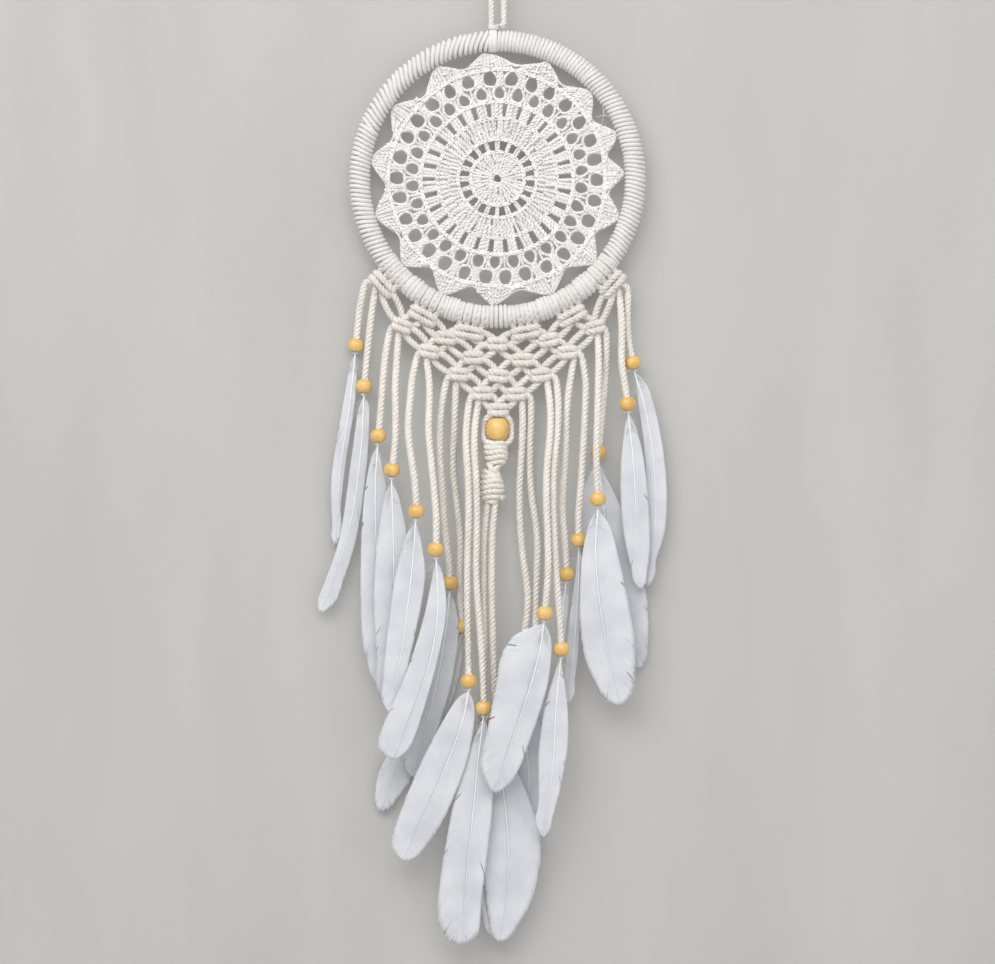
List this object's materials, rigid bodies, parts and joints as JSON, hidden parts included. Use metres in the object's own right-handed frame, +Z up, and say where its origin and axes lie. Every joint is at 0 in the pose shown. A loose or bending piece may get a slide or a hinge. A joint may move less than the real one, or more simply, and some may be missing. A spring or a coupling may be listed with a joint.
{
  "type": "dream catcher",
  "caption": "Macrame dream catcher: a cord-wound hoop with a crochet doily, a knotted V net and fringe cords that end in wooden beads and white feathers.",
  "frame": {"origin": "the nail seat, under the top of the hanging loop", "axes": "+Z up, +X to the right seen from the front, the viewer at -Y and the wall at +Y"},
  "size_m": [0.2298, 0.0384, 0.651],
  "materials": {
    "ring": "satin",
    "hoop_cotton": "matte",
    "cord_cotton": "matte",
    "doily_cotton": "matte",
    "bead_wood": "satin",
    "feather": "matte"
  },
  "bodies": {
    "hanger": {"hanging_loop": "cord_cotton", "hanging_knot": "cord_cotton"},
    "hoop": {"hoop_core": "ring", "hoop_wrap": "hoop_cotton", "doily": "doily_cotton", "doily_ties": "doily_cotton", "mounting_knots": "cord_cotton", "knot_row_1": "cord_cotton", "knot_row_2": "cord_cotton", "knot_row_3": "cord_cotton", "knot_row_4": "cord_cotton", "knot_row_5": "cord_cotton", "knot_row_6": "cord_cotton"},
    "tassel_l1": {"strand_l1a": "cord_cotton", "strand_l1b": "cord_cotton", "beads_l1": "bead_wood", "feathers_l1": "feather"},
    "tassel_l2": {"strand_l2a": "cord_cotton", "strand_l2b": "cord_cotton", "beads_l2": "bead_wood", "feathers_l2": "feather"},
    "tassel_l3": {"strand_l3a": "cord_cotton", "strand_l3b": "cord_cotton", "beads_l3": "bead_wood", "feathers_l3": "feather"},
    "tassel_l4": {"strand_l4a": "cord_cotton", "strand_l4b": "cord_cotton", "beads_l4": "bead_wood", "feathers_l4": "feather"},
    "tassel_l5": {"strand_l5a": "cord_cotton", "strand_l5b": "cord_cotton", "beads_l5": "bead_wood", "feathers_l5": "feather"},
    "tassel_c": {"big_bead": "bead_wood", "sinnet": "cord_cotton", "strand_c1": "cord_cotton", "strand_c2": "cord_cotton", "beads_c": "bead_wood", "feathers_c": "feather"},
    "tassel_r5": {"strand_r5a": "cord_cotton", "strand_r5b": "cord_cotton", "beads_r5": "bead_wood", "feathers_r5": "feather"},
    "tassel_r4": {"strand_r4a": "cord_cotton", "strand_r4b": "cord_cotton", "beads_r4": "bead_wood", "feathers_r4": "feather"},
    "tassel_r3": {"strand_r3a": "cord_cotton", "strand_r3b": "cord_cotton", "beads_r3": "bead_wood", "feathers_r3": "feather"},
    "tassel_r2": {"strand_r2a": "cord_cotton", "strand_r2b": "cord_cotton", "beads_r2": "bead_wood", "feathers_r2": "feather"},
    "tassel_r1": {"strand_r1a": "cord_cotton", "strand_r1b": "cord_cotton", "beads_r1": "bead_wood", "feathers_r1": "feather"}
  },
  "joints": [
    {"name": "hoop_tilt", "type": "hinge", "parent": "hanger", "child": "hoop", "pos_m": [0, 0, -0.052], "axis": [-1, 0, 0], "range_deg": [0, 30]},
    {"name": "sway_l1", "type": "hinge", "parent": "hoop", "child": "tassel_l1", "pos_m": [-0.084, 0, -0.216], "axis": [0, 1, 0], "range_deg": [-3.5, 7]},
    {"name": "sway_l2", "type": "hinge", "parent": "hoop", "child": "tassel_l2", "pos_m": [-0.0685, 0, -0.246], "axis": [0, 1, 0], "range_deg": [-3.5, 3.5]},
    {"name": "sway_l3", "type": "hinge", "parent": "hoop", "child": "tassel_l3", "pos_m": [-0.05, 0, -0.263], "axis": [0, 1, 0], "range_deg": [-3.5, 3.5]},
    {"name": "sway_l4", "type": "hinge", "parent": "hoop", "child": "tassel_l4", "pos_m": [-0.0307, 0, -0.2785], "axis": [0, 1, 0], "range_deg": [-3.5, 3.5]},
    {"name": "sway_l5", "type": "hinge", "parent": "hoop", "child": "tassel_l5", "pos_m": [-0.016, 0, -0.292], "axis": [0, 1, 0], "range_deg": [-3.5, 3.5]},
    {"name": "sway_c", "type": "hinge", "parent": "hoop", "child": "tassel_c", "pos_m": [0, 0, -0.3005], "axis": [0, 1, 0], "range_deg": [-3.5, 3.5]},
    {"name": "sway_r5", "type": "hinge", "parent": "hoop", "child": "tassel_r5", "pos_m": [0.0192, 0, -0.2905], "axis": [0, 1, 0], "range_deg": [-3.5, 3.5]},
    {"name": "sway_r4", "type": "hinge", "parent": "hoop", "child": "tassel_r4", "pos_m": [0.036, 0, -0.278], "axis": [0, 1, 0], "range_deg": [-3.5, 3.5]},
    {"name": "sway_r3", "type": "hinge", "parent": "hoop", "child": "tassel_r3", "pos_m": [0.053, 0, -0.2627], "axis": [0, 1, 0], "range_deg": [-3.5, 3.5]},
    {"name": "sway_r2", "type": "hinge", "parent": "hoop", "child": "tassel_r2", "pos_m": [0.069, 0, -0.2478], "axis": [0, 1, 0], "range_deg": [-3.5, 3.5]},
    {"name": "sway_r1", "type": "hinge", "parent": "hoop", "child": "tassel_r1", "pos_m": [0.0827, 0, -0.2195], "axis": [0, 1, 0], "range_deg": [-7, 3.5]}
  ]
}
